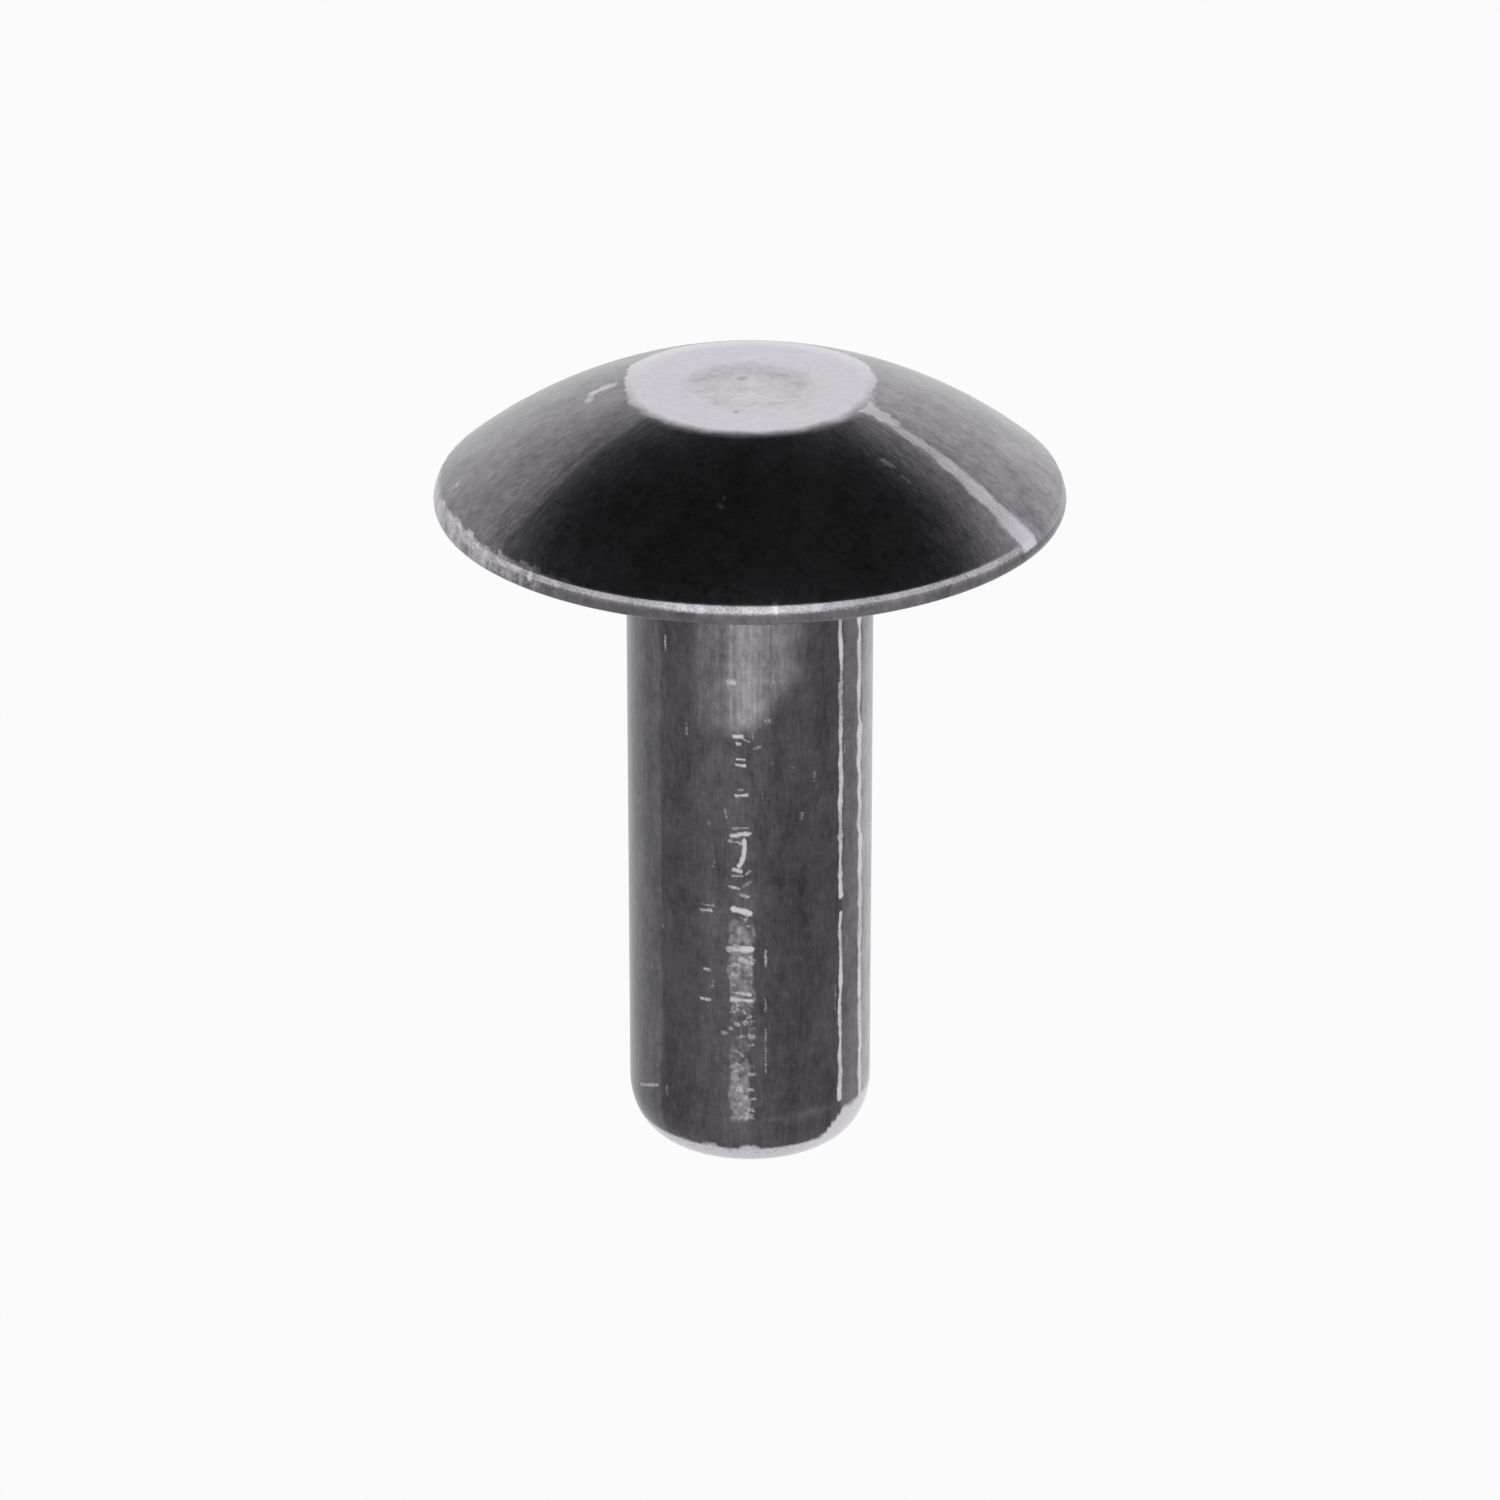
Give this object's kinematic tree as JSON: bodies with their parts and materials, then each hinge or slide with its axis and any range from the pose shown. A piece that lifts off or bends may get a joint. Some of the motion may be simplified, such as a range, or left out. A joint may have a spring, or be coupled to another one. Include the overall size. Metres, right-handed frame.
{
  "type": "solid rivet",
  "caption": "Solid rivet with a broad low domed head, flat seat under the head and plain round shank with a rounded end, for joining sheets by hammering the end over.",
  "frame": {"origin": "centre of the head's flat seat, where the shank enters the hole it is set in", "axes": "+Z along the shank's axis, out through the head's crown; the shank runs along -Z; X and Y are free, because the rivet is round"},
  "size_m": [0.0126, 0.0126, 0.0164],
  "materials": {
    "aluminium": "bare cold-headed aluminium, tumbled dull grey, with drawing lines and handling scratches"
  },
  "bodies": {
    "root": {"solid_rivet": "aluminium"}
  },
  "joints": []
}
